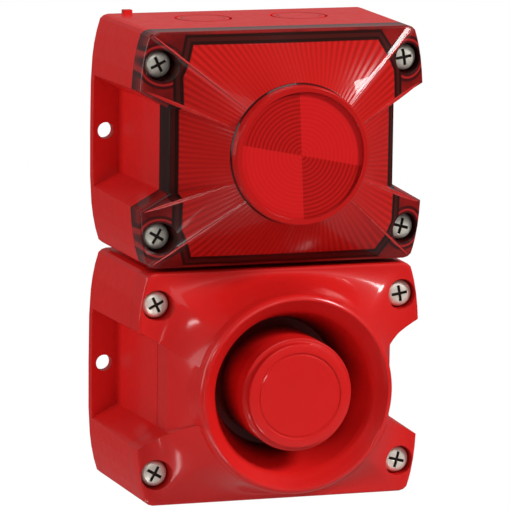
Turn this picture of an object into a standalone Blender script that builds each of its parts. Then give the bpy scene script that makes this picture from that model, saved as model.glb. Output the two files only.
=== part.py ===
"""Horn strobe: two stacked wall housings, a flash beacon above and a horn sounder below.

Frame: the origin is on the wall plane, midway between the two housings. +X is to the right as seen
from the front, +Z is up and the front faces -Y. Depths are measured out from the wall, so a depth d
lies at Y = -d. Sizes below are in millimetres and are turned to metres where meshes are made.
"""

import math

import bmesh
import bpy
from mathutils import Vector

MM = 0.001

# Housing
HOUSING_HEIGHT = 88.0  # one housing
HOUSING_GAP = 1.75  # between the two housings
HALF_HEIGHT = HOUSING_HEIGHT / 2
STROBE_Z = (HOUSING_HEIGHT + HOUSING_GAP) / 2
SOUNDER_Z = -STROBE_Z
HALF_WIDTH = 56.8  # at the wall, at mid height
SIDE_BOW = 4.25  # how much narrower the top and bottom edges are, each side
SIDE_DRAFT = 1.2  # how much narrower the front is, each side
CORNER_ROUND = 1.6
FLOOR = 4.5
WALL = 2.6

# Depths
LUG = 4.0  # wall lugs at the bottom of the side recesses
LEDGE = 43.0  # rear of the thick rim that carries the seal
SEAM = 49.0  # front of a base
JOINT_GAP = 0.3
RIM = 59.6  # front edge of a cover's side

# Side recesses
RECESS_X = 46.8
RECESS_DRAFT = 2.3  # from the lug to the seam
RECESS_INNER_Z = 15.8
RECESS_OUTER_Z = 21.3
RECESS_FLARE = 1.0

# Opening and seal inside the rim: an octagon past the screws
OPENING_X = 39.5
OPENING_Z = 38.3
OPENING_CORNER_X = 33.5
OPENING_CORNER_Z = 25.0
SEAL_WIDTH = 3.0
SEAL_REAR = 46.9

# Fixings
WALL_HOLE_X = 51.8
WALL_HOLE_RADIUS = 3.15
SCREW_X = 48.0
SCREW_Z = 32.0
SCREW_HEAD_RADIUS = 5.0
SCREW_HEAD_TOP = 58.2
SCREW_SEAT = 54.6
SCREW_SHANK_RADIUS = 2.4
SCREW_TIP = 36.0
SCREW_BORE_RADIUS = 2.75
COUNTERBORE_RADIUS = 5.7
BOSS_RADIUS = 4.6

# Strobe lens
COLLAR_RADIUS = 25.9
COLLAR_DEPTH = 83.3
FRESNEL_RADIUS = 23.6
FRESNEL_DEPTH = 81.8
FACET_TOP = 78.0

# Horn
HORN_RIM_RADIUS = 37.8
HORN_RIM_DEPTH = 81.6
PLUG_RADIUS = 21.4
PLUG_FACE_RADIUS = 19.7
PLUG_DEPTH = 83.3
PLUG_STEP = 80.4

# Link between the housings
LINK_DEPTH = 22.0
LINK_RADIUS = 8.0
LINK_BORE = 6.0

KNOCKOUT_X = 19.0
KNOCKOUT_DEPTH = 21.0
KNOCKOUT_RADIUS = 11.0

# inside pieces
CARRIER_REAR = 43.6
CARRIER_FRONT = 45.6
CARRIER_SCREW = (24.5, 29.6)
STROBE_BOARD_REAR = 30.0
STROBE_BOARD_FRONT = 31.6
TERMINAL_LEFT = -20.5
TERMINAL_PITCH = 5.2
TERMINAL_WAYS = 3
WIRE_WAY_DEPTH = FLOOR + 5.25
HORN_FOOT = 50.2  # rear of the horn's floor
HORN_FLOOR = 52.6
THROAT_RADIUS = 25.0
SOUNDER_BOARD_REAR = 18.0
SOUNDER_BOARD_FRONT = 19.6
COVER_POST = (31.0, 27.0)
SWITCH_X = (-22.0, -4.0)
SWITCH_Z = SOUNDER_Z + 14.0
SWITCH_FACE = SOUNDER_BOARD_REAR - 5.3  # the side that faces the wall
LEVER_COUNT = 6
LEVER_TRAVEL = 1.2

CORNERS = ((-1, 1), (1, 1), (-1, -1), (1, -1))
SCREW_TURNS = (20, 35, -15, 60)  # how far each cover screw's cross is turned, in degrees

for leftover in list(bpy.data.objects):
    bpy.data.objects.remove(leftover, do_unlink=True)

parts = bpy.data.collections.new("horn_strobe")
cutters = bpy.data.collections.new("cutters")
bpy.context.scene.collection.children.link(parts)
bpy.context.scene.collection.children.link(cutters)
cutters.hide_render = True


def material(name, colour, roughness, metallic=0.0, transmission=0.0):
    made = bpy.data.materials.new(name)
    made.use_nodes = True
    shader = made.node_tree.nodes["Principled BSDF"]
    shader.inputs["Base Color"].default_value = (*colour, 1.0)
    shader.inputs["Roughness"].default_value = roughness
    shader.inputs["Metallic"].default_value = metallic
    shader.inputs["Transmission Weight"].default_value = transmission
    return made


RED = material("red_housing_plastic", (0.58, 0.012, 0.012), 0.4)
RED_CLEAR = material("red_clear_polycarbonate", (0.75, 0.01, 0.012), 0.1, transmission=0.85)
BLACK_RUBBER = material("black_seal_rubber", (0.02, 0.018, 0.018), 0.8)
BLACK_PLASTIC = material("black_plastic", (0.03, 0.028, 0.028), 0.5)
STEEL = material("zinc_plated_steel", (0.72, 0.68, 0.6), 0.3, metallic=1.0)
BRIGHT = material("aluminised_reflector", (0.85, 0.85, 0.86), 0.12, metallic=1.0)
GLASS = material("quartz_glass", (0.95, 0.96, 0.97), 0.05, transmission=1.0)
BOARD = material("green_circuit_board", (0.03, 0.2, 0.08), 0.5)
SLEEVE = material("dark_blue_sleeve", (0.03, 0.05, 0.2), 0.4)
TERMINAL = material("grey_terminal_plastic", (0.35, 0.36, 0.36), 0.5)
FERRITE = material("dark_magnet_steel", (0.12, 0.12, 0.13), 0.5, metallic=0.6)
FILM = material("amber_diaphragm_film", (0.5, 0.3, 0.12), 0.35)
SWITCH_BLUE = material("blue_switch_plastic", (0.05, 0.12, 0.45), 0.45)
WHITE_PLASTIC = material("white_plastic", (0.85, 0.84, 0.8), 0.45)
WIRE_RED = material("red_wire_sleeve", (0.6, 0.03, 0.03), 0.5)
WIRE_BLACK = material("black_wire_sleeve", (0.03, 0.03, 0.03), 0.5)


def shade(mesh, angle=math.radians(30)):
    mesh.shade_smooth()
    mesh.set_sharp_from_angle(angle=angle)


def placed(name, mesh, look, is_cutter=False):
    """An object for a mesh: a part with its material, or a wire-frame cutter."""
    made = bpy.data.objects.new(name, mesh)
    if is_cutter:
        cutters.objects.link(made)
        made.hide_render = True
        made.display_type = "WIRE"
    else:
        parts.objects.link(made)
        mesh.materials.append(look)
    return made


def finish_bmesh(name, shape):
    bmesh.ops.recalc_face_normals(shape, faces=shape.faces)
    mesh = bpy.data.meshes.new(name)
    shape.to_mesh(mesh)
    shape.free()
    shade(mesh)
    return mesh


def loft(name, rings, look=None, centre_z=0.0, is_cutter=False):
    """A closed solid through rings of (x, z, depth) points, all with the same count."""
    shape = bmesh.new()
    rows = []
    for ring in rings:
        rows.append([shape.verts.new((x * MM, -d * MM, (z + centre_z) * MM)) for x, z, d in ring])
    count = len(rows[0])
    for lower, upper in zip(rows, rows[1:]):
        for i in range(count):
            j = (i + 1) % count
            shape.faces.new((lower[i], lower[j], upper[j], upper[i]))
    shape.faces.new(rows[0])
    shape.faces.new(rows[-1])
    shape.normal_update()
    bmesh.ops.triangulate(shape, faces=list(shape.faces))
    return placed(name, finish_bmesh(name, shape), look, is_cutter)


def box(name, low, high, look=None, bevel=0.0, is_cutter=False):
    """A block between two corners given as (x, z, depth)."""
    size = [abs(b - a) * MM for a, b in zip(low, high)]
    middle = [(a + b) / 2 * MM for a, b in zip(low, high)]
    shape = bmesh.new()
    bmesh.ops.create_cube(shape, size=1.0)
    bmesh.ops.scale(shape, vec=(size[0], size[2], size[1]), verts=shape.verts)
    made = placed(name, finish_bmesh(name, shape), look, is_cutter)
    made.location = (middle[0], -middle[2], middle[1])
    if bevel:
        rounding = made.modifiers.new("rounded edges", "BEVEL")
        rounding.width = bevel * MM
        rounding.segments = 2
    return made


def rod(name, centre, radius, start, end, axis="Y", look=None, sides=20, is_cutter=False):
    """A cylinder. Along Y it runs between two depths at centre (x, z); along Z or X it runs
    between two coordinates at centre (x, depth) or (z, depth)."""
    shape = bmesh.new()
    bmesh.ops.create_cone(
        shape,
        cap_ends=True,
        segments=sides,
        radius1=radius * MM,
        radius2=radius * MM,
        depth=abs(end - start) * MM,
    )
    made = placed(name, finish_bmesh(name, shape), look, is_cutter)
    middle = (start + end) / 2 * MM
    if axis == "Y":
        made.location = (centre[0] * MM, -middle, centre[1] * MM)
        made.rotation_euler = (math.pi / 2, 0, 0)
    elif axis == "Z":
        made.location = (centre[0] * MM, -centre[1] * MM, middle)
    else:
        made.location = (middle, -centre[1] * MM, centre[0] * MM)
        made.rotation_euler = (0, math.pi / 2, 0)
    return made


def turned(name, profile, centre=(0.0, 0.0), look=None, steps=48, axis="Y", is_cutter=False):
    """A profile of (radius, height) points turned about an axis. About Y the heights are depths
    from the wall and the centre is (x, z); about Z they are Z values and the centre is (
        x,
        depth,
    )."""
    mesh = bpy.data.meshes.new(name)
    points = [(radius * MM, 0.0, height * MM) for radius, height in profile]
    closed = profile[0][0] > 0
    count = len(points)
    links = [(i, i + 1) for i in range(count - 1)]
    if closed:
        links.append((count - 1, 0))
    mesh.from_pydata(points, links, [])
    made = placed(name, mesh, look, is_cutter)
    if axis == "Y":
        made.location = (centre[0] * MM, 0.0, centre[1] * MM)
        made.rotation_euler = (math.pi / 2, 0, 0)
    else:
        made.location = (centre[0] * MM, -centre[1] * MM, 0.0)
    screw = made.modifiers.new("turn", "SCREW")
    screw.steps = steps
    screw.render_steps = steps
    screw.use_merge_vertices = True
    screw.merge_threshold = 0.00001
    screw.use_smooth_shade = True
    return made


def tube(name, route, radius, look):
    """A round wire through points given as (x, z, depth)."""
    line = bpy.data.curves.new(name, "CURVE")
    line.dimensions = "3D"
    line.bevel_depth = radius * MM
    line.bevel_resolution = 2
    line.use_fill_caps = True
    spline = line.splines.new("POLY")
    spline.points.add(len(route) - 1)
    for point, (x, z, d) in zip(spline.points, route):
        point.co = (x * MM, -d * MM, z * MM, 1.0)
    made = bpy.data.objects.new(name, line)
    line.materials.append(look)
    parts.objects.link(made)
    return made


def smooth_route(points, per_leg=5):
    """Points along a Catmull-Rom curve through the given ones."""
    ends = [points[0]] + list(points) + [points[-1]]
    route = []
    for i in range(1, len(ends) - 2):
        a, b, c, d = (Vector(ends[k]) for k in range(i - 1, i + 3))
        for step in range(per_leg):
            t = step / per_leg
            route.append(
                0.5 * (
                    2 * b + (c - a) * t + (
                        2 * a - 5 * b + 4 * c - d
                    ) * t**2 + (3 * b - a - 3 * c + d) * t**3
                )
            )
    route.append(Vector(points[-1]))
    return [tuple(point) for point in route]


def boolean(target, cutter, operation="DIFFERENCE"):
    """Cuts or joins with EXACT, unless the target asks for another solver."""
    step = target.modifiers.new(cutter.name, "BOOLEAN")
    step.operation = operation
    step.object = cutter
    step.solver = target.get("solver", "EXACT")


def flatten(made):
    """Replaces an object's mesh by its evaluated one, so that copies can share it."""
    bpy.context.view_layer.update()
    graph = bpy.context.evaluated_depsgraph_get()
    mesh = bpy.data.meshes.new_from_object(made.evaluated_get(graph))
    made.modifiers.clear()
    made.data = mesh
    return mesh


# ---- Outlines, in (x, z) of one housing ----


def half_width(z, depth):
    bow = SIDE_BOW * (z / HALF_HEIGHT) ** 4
    return HALF_WIDTH - SIDE_DRAFT * depth / RIM - bow


def mirrored(quadrant):
    """The whole outline, from its points in the upper right quadrant from the X axis to the Z axis."""
    upper_left = [(-x, z) for x, z in reversed(quadrant) if x > 0]
    top = list(quadrant) + upper_left
    bottom = [(x, -z) for x, z in reversed(top) if z > 0]
    return top + bottom


def outer_quadrant(depth, fine=False, rounded=True):
    """From the recess edge up the bowed side and along the top to the middle."""
    points = []
    for z in (28.0, 33.0, 38.0):
        points.append((half_width(z, depth), z))
    corner = half_width(HALF_HEIGHT, depth)
    if rounded:
        start = HALF_HEIGHT - CORNER_ROUND
        points.append((half_width(start, depth), start))
        points.append((corner - 0.45 * CORNER_ROUND, HALF_HEIGHT - 0.3 * CORNER_ROUND))
        points.append((corner - 1.5 * CORNER_ROUND, HALF_HEIGHT))
    else:
        points.append((corner, HALF_HEIGHT))
    if fine:
        points += [(x, HALF_HEIGHT) for x in (40.0, 32.0, 24.0, 16.0, 8.0, 0.0)]
    return points


def recess_x(depth):
    return RECESS_X - RECESS_DRAFT * (depth - LUG) / (SEAM - LUG)


def recess_edge_z(depth):
    return RECESS_OUTER_Z + RECESS_FLARE * (depth - LUG) / (RIM - LUG)


def full_outline(depth):
    side = [(half_width(z, depth), z) for z in (0.0, 18.0)]
    return mirrored(side + outer_quadrant(depth))


def recessed_outline(depth, fine=False, rounded=True):
    edge = recess_edge_z(depth)
    steps = (0.0, 5.3, 10.6, RECESS_INNER_Z) if fine else (RECESS_INNER_Z,)
    side = [(recess_x(depth), z) for z in steps]
    side.append((half_width(edge, depth), edge))
    return mirrored(side + outer_quadrant(depth, fine, rounded))


def opening_outline(grow=0.0, fine=False):
    """The octagonal opening inside the rim, grown outward by a distance."""
    diagonal = Vector((OPENING_Z - OPENING_CORNER_Z, OPENING_X - OPENING_CORNER_X)).normalized()
    side = OPENING_X + grow
    top = OPENING_Z + grow
    low_z = OPENING_CORNER_Z + grow * (1 - diagonal.x) / diagonal.y
    high_x = OPENING_CORNER_X + grow * (1 - diagonal.y) / diagonal.x
    quadrant = [(side, 0.0)]
    if fine:
        quadrant += [(side, low_z * k / 4) for k in (1, 2, 3)]
    quadrant.append((side, low_z))
    if fine:
        quadrant += [((2 * side + high_x) / 3, (2 * low_z + top) / 3)]
        quadrant += [((side + 2 * high_x) / 3, (low_z + 2 * top) / 3)]
    quadrant.append((high_x, top))
    if fine:
        quadrant += [(high_x * k / 5, top) for k in (4, 3, 2, 1)]
    quadrant.append((0.0, top))
    return mirrored(quadrant)


def shrunk(outline, amount):
    """A closed outline moved inward by a distance, with its corners mitred."""
    count = len(outline)
    moved = []
    for i, here in enumerate(outline):
        before = Vector(here) - Vector(outline[i - 1])
        after = Vector(outline[(i + 1) % count]) - Vector(here)
        first = Vector((-before.y, before.x)).normalized()
        second = Vector((-after.y, after.x)).normalized()
        bisector = (first + second).normalized()
        moved.append(tuple(Vector(here) + bisector * amount / max(bisector.dot(first), 0.3)))
    return moved


def at(outline, depth):
    return [(x, z, depth) for x, z in outline]


def round_like(outline, radius, depth):
    """A circle with one point in the direction of each point of an outline."""
    ring = []
    for x, z in outline:
        reach = math.hypot(x, z)
        ring.append((x / reach * radius, z / reach * radius, depth))
    return ring


def blend(first, second, share):
    return [tuple(a + (b - a) * share for a, b in zip(p, q)) for p, q in zip(first, second)]


# ---- Housings ----


def recess_cutters(prefix, centre_z, start, end):
    """One cutter each side, wider than the housing, between two depths."""
    made = []
    for side, label in ((-1, "left"), (1, "right")):
        rings = []
        for depth in (start, end):
            inner = recess_x(depth)
            edge = recess_edge_z(depth)
            reach = half_width(edge, depth)
            slope = (edge - RECESS_INNER_Z) / (reach - inner)
            far = HALF_WIDTH + 3.0
            far_z = edge + (far - reach) * slope
            corners = (
                (inner, -RECESS_INNER_Z),
                (far, -far_z),
                (far, far_z),
                (inner, RECESS_INNER_Z),
            )
            rings.append([(side * x, z, depth) for x, z in corners])
        made.append(loft(f"{prefix}_recess_{label}", rings, None, centre_z, True))
    return made


def screw_places(centre_z):
    return [(sx * SCREW_X, centre_z + sz * SCREW_Z) for sx, sz in CORNERS]


def base(name, centre_z):
    """A back box with its side recesses, wall lugs, cavity, seal groove and screw bosses."""
    body = loft(name, [at(full_outline(0.0), 0.0), at(full_outline(SEAM), SEAM)], RED, centre_z)
    for cutter in recess_cutters(name, centre_z, LUG, SEAM + 2.0):
        boolean(body, cutter)
    hollow = loft(
        f"{name}_hollow",
        [
            at(shrunk(recessed_outline(FLOOR, rounded=False), WALL), FLOOR),
            at(shrunk(recessed_outline(LEDGE, rounded=False), WALL), LEDGE),
        ],
        None,
        centre_z,
        True,
    )
    boolean(body, hollow)
    mouth = loft(
        f"{name}_mouth",
        [at(opening_outline(), LEDGE - 2.0), at(opening_outline(), SEAM + 1.0)],
        None,
        centre_z,
        True,
    )
    boolean(body, mouth)
    groove_rear = SEAL_REAR - JOINT_GAP
    groove = loft(
        f"{name}_groove",
        [
            at(opening_outline(SEAL_WIDTH + 0.6), groove_rear),
            at(opening_outline(SEAL_WIDTH + 0.6), SEAM + 1.0),
        ],
        None,
        centre_z,
        True,
    )
    boolean(body, groove)
    for number, place in enumerate(screw_places(centre_z), 1):
        boss = rod(
            f"{name}_boss_{number}",
            place,
            BOSS_RADIUS,
            FLOOR - 1.0,
            LEDGE + 1.0,
            is_cutter=True,
        )
        boolean(body, boss, "UNION")
        bore = rod(
            f"{name}_bore_{number}",
            place,
            SCREW_BORE_RADIUS,
            SCREW_TIP - 2.0,
            SEAM + 1.0,
            is_cutter=True,
        )
        boolean(body, bore)
    for side in (-1, 1):
        hole = rod(
            f"{name}_wall_hole_{side}",
            (side * WALL_HOLE_X, centre_z),
            WALL_HOLE_RADIUS,
            -1.0,
            LUG + 1.0,
            is_cutter=True,
        )
        boolean(body, hole)
    return body


def knockout_groove(body, centre_x, face_z):
    """The thin ring that marks a cable entry to be knocked out of a top or bottom face."""
    ring = turned(
        f"{body.name}_knockout_{'left' if centre_x < 0 else 'right'}",
        [
            (KNOCKOUT_RADIUS, face_z + 1.0),
            (KNOCKOUT_RADIUS, face_z - 0.8),
            (KNOCKOUT_RADIUS - 1.0, face_z - 0.8),
            (KNOCKOUT_RADIUS - 1.0, face_z + 1.0),
        ],
        (centre_x, KNOCKOUT_DEPTH),
        steps=24,
        axis="Z",
        is_cutter=True,
    )
    boolean(body, ring)


def seal(name, centre_z):
    """The rubber ring in a base's groove."""
    outer = loft(
        name,
        [
            at(opening_outline(SEAL_WIDTH + 0.3), SEAL_REAR),
            at(opening_outline(SEAL_WIDTH + 0.3), SEAM),
        ],
        BLACK_RUBBER,
        centre_z,
    )
    inner = loft(
        f"{name}_inside",
        [at(opening_outline(0.1), SEAL_REAR - 1.0), at(opening_outline(0.1), SEAM + 1.0)],
        None,
        centre_z,
        True,
    )
    boolean(outer, inner)
    return outer


def screw_mesh():
    """A pan-head machine screw with a cross recess, with its seat at the origin and its head towards -Y."""
    seat = SCREW_SEAT + JOINT_GAP
    head = SCREW_HEAD_TOP - seat
    tip = SCREW_TIP - seat
    screw = turned(
        "screw_pattern",
        [
            (0.0, head),
            (1.6, head),
            (3.2, head - 0.45),
            (4.4, head - 1.2),
            (SCREW_HEAD_RADIUS, head - 2.1),
            (SCREW_HEAD_RADIUS, 0.0),
            (SCREW_SHANK_RADIUS, 0.0),
            (SCREW_SHANK_RADIUS, tip + 0.8),
            (SCREW_SHANK_RADIUS - 0.8, tip),
            (0.0, tip),
        ],
        look=STEEL,
        steps=16,
    )
    for number, turn in enumerate((45, 135)):
        slot = box(
            f"screw_slot_{number}",
            (-2.9, -0.6, head - 1.6),
            (2.9, 0.6, head + 1.0),
            is_cutter=True,
        )
        slot.rotation_euler = (0, math.radians(turn), 0)
        boolean(screw, slot)
    mesh = flatten(screw)
    bpy.data.objects.remove(screw, do_unlink=True)
    return mesh


def cover_screws(prefix, centre_z, mesh):
    for number, ((x, z), turn) in enumerate(zip(screw_places(centre_z), SCREW_TURNS), 1):
        screw = bpy.data.objects.new(f"{prefix}_{number}", mesh)
        parts.objects.link(screw)
        screw.location = (x * MM, -(SCREW_SEAT + JOINT_GAP) * MM, z * MM)
        screw.rotation_euler = (math.pi / 2, math.radians(turn), 0)


def screw_holes(cover, centre_z):
    for number, place in enumerate(screw_places(centre_z), 1):
        head = rod(
            f"{cover.name}_counterbore_{number}",
            place,
            COUNTERBORE_RADIUS,
            SCREW_SEAT,
            RIM + 14.0,
            sides=32,
            is_cutter=True,
        )
        shank = rod(
            f"{cover.name}_hole_{number}",
            place,
            SCREW_BORE_RADIUS,
            SEAM - 2.0,
            SCREW_SEAT + 2.0,
            is_cutter=True,
        )
        boolean(cover, head)
        boolean(cover, shank)


# ---- Strobe ----


def strobe_lens():
    rear = SEAM + JOINT_GAP
    rim = recessed_outline(RIM, fine=True)
    lens = loft(
        "strobe_lens",
        [
            at(recessed_outline(rear, fine=True), rear),
            at(rim, RIM),
            round_like(rim, COLLAR_RADIUS + 0.4, FACET_TOP),
            round_like(rim, COLLAR_RADIUS, COLLAR_DEPTH),
        ],
        RED_CLEAR,
        STROBE_Z,
    )
    mouth = opening_outline(fine=True)
    inside = loft(
        "strobe_lens_inside",
        [
            at(mouth, SEAM - 1.0),
            at(mouth, RIM - 3.6),
            round_like(mouth, FRESNEL_RADIUS, FACET_TOP - 2.0),
            round_like(mouth, FRESNEL_RADIUS, FRESNEL_DEPTH - 1.8),
        ],
        None,
        STROBE_Z,
        True,
    )
    boolean(lens, inside)
    face = rod(
        "strobe_lens_face", (
            0.0,
            STROBE_Z,
        ), FRESNEL_RADIUS, FRESNEL_DEPTH, COLLAR_DEPTH + 1, sides=48, is_cutter=True
    )
    boolean(lens, face)
    screw_holes(lens, STROBE_Z)
    return lens


def small_screw(name, centre, seat, tip, look=STEEL, facing=1):
    """A small pan-head screw. Facing 1 puts its head to the front of its seat, and -1 to the rear."""
    head = seat + facing * 1.6
    profile = [
        (0.0, head),
        (1.9, head),
        (2.6, head - facing * 0.7),
        (2.6, seat),
        (1.2, seat),
        (1.2, tip),
        (0.0, tip),
    ]
    if facing < 0:
        profile.reverse()
    return turned(name, profile, centre, look, steps=10)


def strobe_inside():
    """The lamp carrier with its reflector and flash tube, and the circuit board behind it."""
    post_x, post_z = CARRIER_SCREW
    strobe_base = bpy.data.objects["strobe_base"]
    carrier = loft(
        "lamp_carrier",
        [at(opening_outline(-0.4), CARRIER_REAR), at(opening_outline(-0.4), CARRIER_FRONT)],
        BLACK_PLASTIC,
        STROBE_Z,
    )
    window = rod(
        "lamp_carrier_window",
        (0, STROBE_Z),
        27.0,
        CARRIER_REAR - 1,
        CARRIER_FRONT + 1,
        sides=40,
        is_cutter=True,
    )
    boolean(carrier, window)
    number = 0
    for sx, sz in CORNERS:
        number += 1
        place = (sx * post_x, STROBE_Z + sz * post_z)
        post = rod(
            f"carrier_post_{number}",
            place,
            3.4,
            FLOOR - 1.0,
            CARRIER_REAR - 0.3,
            sides=10,
            is_cutter=True,
        )
        boolean(strobe_base, post, "UNION")
        bore = rod(
            f"carrier_post_bore_{number}",
            place,
            1.5,
            CARRIER_REAR - 9.0,
            CARRIER_REAR + 1.0,
            sides=8,
            is_cutter=True,
        )
        boolean(strobe_base, bore)
        hole = rod(
            f"carrier_hole_{number}",
            place,
            1.6,
            CARRIER_REAR - 1.0,
            CARRIER_FRONT + 1.0,
            sides=8,
            is_cutter=True,
        )
        boolean(carrier, hole)
        small_screw(f"carrier_screw_{number}", place, CARRIER_FRONT + 0.3, CARRIER_REAR - 7.0)

    turned(
        "reflector",
        [
            (31.0, 46.9),
            (31.0, 45.9),
            (26.6, 45.9),
            (25.6, 44.0),
            (20.5, 38.4),
            (14.0, 34.6),
            (7.5, 33.2),
            (7.5, 34.3),
            (13.6, 35.6),
            (19.8, 39.2),
            (24.8, 44.6),
            (26.0, 46.9),
        ],
        (0.0, STROBE_Z),
        BRIGHT,
        steps=40,
    )
    rod("lamp_holder", (0.0, STROBE_Z), 6.8, STROBE_BOARD_FRONT + 0.3, 36.0, look=WHITE_PLASTIC)
    leg = 4.0
    arch = []
    for degrees in range(0, 181, 20):
        angle = math.radians(degrees)
        arch.append((leg * math.cos(angle), STROBE_Z, 46.0 + leg * math.sin(angle)))
    tube("flash_tube", [(leg, STROBE_Z, 36.3)] + arch + [(-leg, STROBE_Z, 36.3)], 1.9, GLASS)

    board = box(
        "strobe_board",
        (-20.0, STROBE_Z - 36.5, STROBE_BOARD_REAR),
        (20.0, STROBE_Z + 36.5, STROBE_BOARD_FRONT),
        BOARD,
    )
    for number, side in enumerate((1, -1), 1):
        place = (0.0, STROBE_Z + side * 31.0)
        post = rod(
            f"board_post_{number}",
            place,
            3.2,
            FLOOR - 1.0,
            STROBE_BOARD_REAR - 0.3,
            sides=10,
            is_cutter=True,
        )
        boolean(strobe_base, post, "UNION")
        bore = rod(
            f"board_post_bore_{number}",
            place,
            1.5,
            STROBE_BOARD_REAR - 9.0,
            STROBE_BOARD_REAR + 1.0,
            sides=8,
            is_cutter=True,
        )
        boolean(strobe_base, bore)
        hole = rod(
            f"board_hole_{number}",
            place,
            1.6,
            STROBE_BOARD_REAR - 1.0,
            STROBE_BOARD_FRONT + 1.0,
            sides=8,
            is_cutter=True,
        )
        boolean(board, hole)
        small_screw(
            f"strobe_board_screw_{number}",
            place,
            STROBE_BOARD_FRONT + 0.3,
            STROBE_BOARD_REAR - 7.0,
        )
    rod(
        "flash_capacitor",
        (-9.0, STROBE_BOARD_REAR - 9.0),
        8.0,
        STROBE_Z - 17.0,
        STROBE_Z + 17.0,
        axis="Z",
        look=SLEEVE,
    )
    box(
        "trigger_coil",
        (6.0, STROBE_Z - 6.0, STROBE_BOARD_REAR - 9.3),
        (16.0, STROBE_Z + 6.0, STROBE_BOARD_REAR - 0.3),
        BLACK_PLASTIC,
        bevel=0.8,
    )
    terminal_block("strobe_terminal_block", STROBE_Z - 28.0)


def terminal_block(name, centre_z):
    """A row of wire clamps on a base's floor, with their wires entering from below."""
    front = FLOOR + 12.0
    right = TERMINAL_LEFT + TERMINAL_PITCH * TERMINAL_WAYS
    block = box(
        name,
        (TERMINAL_LEFT, centre_z - 6.0, FLOOR + 0.3),
        (right, centre_z + 6.0, front),
        TERMINAL,
    )
    for way in range(TERMINAL_WAYS):
        x = TERMINAL_LEFT + TERMINAL_PITCH * (way + 0.5)
        clamp = (x, centre_z + 1.5)
        pocket = rod(
            f"{name}_clamp_{way}",
            clamp,
            1.9,
            front - 3.0,
            front + 1.0,
            sides=8,
            is_cutter=True,
        )
        mouth = box(
            f"{name}_wire_way_{way}",
            (x - 1.6, centre_z - 7.0, WIRE_WAY_DEPTH - 1.6),
            (x + 1.6, centre_z - 2.0, WIRE_WAY_DEPTH + 1.6),
            is_cutter=True,
        )
        boolean(block, pocket)
        boolean(block, mouth)


# ---- Sounder ----


def horn_cover():
    rear = SEAM + JOINT_GAP
    rim = recessed_outline(RIM, fine=True)
    edge = at(rim, RIM)
    horn_root = round_like(rim, 36.4, 74.0)
    rings = [at(recessed_outline(rear, fine=True), rear), edge]
    for share in (0.25, 0.5, 0.75, 1.0):
        ring = blend(edge, horn_root, share)
        rise = (horn_root[0][2] - RIM) * share**1.7
        rings.append([(x, z, RIM + rise) for x, z, _ in ring])
    cover = loft("horn_cover", rings, RED, SOUNDER_Z)
    cover["solver"] = "MANIFOLD"  # EXACT leaves open edges where the bell leaves the swept faces
    mouth = opening_outline(fine=True)
    inside = loft(
        "horn_cover_inside",
        [
            at(mouth, SEAM - 1.0),
            at(mouth, RIM - 4.2),
            round_like(mouth, 36.6, RIM - 1.0),
            round_like(mouth, 34.0, 66.0),
        ],
        None,
        SOUNDER_Z,
        True,
    )
    boolean(cover, inside)
    bell = turned(
        "horn_bell",
        [
            (0.0, HORN_RIM_DEPTH),
            (36.6, HORN_RIM_DEPTH),
            (37.4, HORN_RIM_DEPTH - 0.4),
            (HORN_RIM_RADIUS, HORN_RIM_DEPTH - 1.2),
            (38.0, 72.0),
            (35.6, 66.0),
            (30.8, 60.0),
            (27.8, 54.0),
            (27.4, HORN_FOOT),
            (0.0, HORN_FOOT),
        ],
        (0.0, SOUNDER_Z),
        steps=48,
        is_cutter=True,
    )
    air = turned(
        "horn_air",
        [
            (0.0, 90.0),
            (36.2, 90.0),
            (36.0, HORN_RIM_DEPTH - 0.3),
            (34.8, 80.2),
            (32.4, 77.0),
            (29.2, 70.0),
            (26.2, 62.0),
            (THROAT_RADIUS, 55.0),
            (24.4, HORN_FLOOR),
            (13.0, HORN_FLOOR),
            (13.0, HORN_FOOT - 1.0),
            (0.0, HORN_FOOT - 1.0),
        ],
        (0.0, SOUNDER_Z),
        steps=48,
        is_cutter=True,
    )
    boolean(cover, bell, "UNION")
    boolean(cover, air)
    post_x, post_z = COVER_POST
    for number, (sx, sz) in enumerate(CORNERS, 1):
        place = (sx * post_x, SOUNDER_Z + sz * post_z)
        post = rod(
            f"cover_post_{number}",
            place,
            3.2,
            SOUNDER_BOARD_FRONT + 0.3,
            RIM - 2.0,
            sides=10,
            is_cutter=True,
        )
        boolean(cover, post, "UNION")
        bore = rod(
            f"cover_post_bore_{number}",
            place,
            1.5,
            SOUNDER_BOARD_FRONT - 1.0,
            SOUNDER_BOARD_FRONT + 9.0,
            sides=8,
            is_cutter=True,
        )
        boolean(cover, bore)
    screw_holes(cover, SOUNDER_Z)
    return cover


def horn_plug():
    """The hollow core of the folded horn, on three feet that stand on the horn's floor."""
    rear = 57.0
    plug = turned(
        "horn_plug",
        [
            (0.0, PLUG_DEPTH),
            (PLUG_FACE_RADIUS - 1.0, PLUG_DEPTH),
            (PLUG_FACE_RADIUS, PLUG_DEPTH - 0.6),
            (PLUG_FACE_RADIUS + 0.2, PLUG_STEP + 0.2),
            (PLUG_RADIUS - 0.4, PLUG_STEP),
            (PLUG_RADIUS, PLUG_STEP - 0.6),
            (PLUG_RADIUS, rear),
            (PLUG_RADIUS - 2.6, rear),
            (PLUG_RADIUS - 3.0, PLUG_STEP - 2.0),
            (0.0, PLUG_STEP - 2.0),
        ],
        (0.0, SOUNDER_Z),
        RED,
        steps=48,
    )
    for number in range(3):
        angle = math.radians(90 + 120 * number)
        foot_radius = PLUG_RADIUS - 1.7
        place = (foot_radius * math.cos(angle), SOUNDER_Z + foot_radius * math.sin(angle))
        foot = rod(
            f"plug_foot_{number}",
            place,
            1.6,
            HORN_FLOOR + 0.3,
            rear + 4.0,
            sides=8,
            is_cutter=True,
        )
        boolean(plug, foot, "UNION")
    return plug


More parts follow.
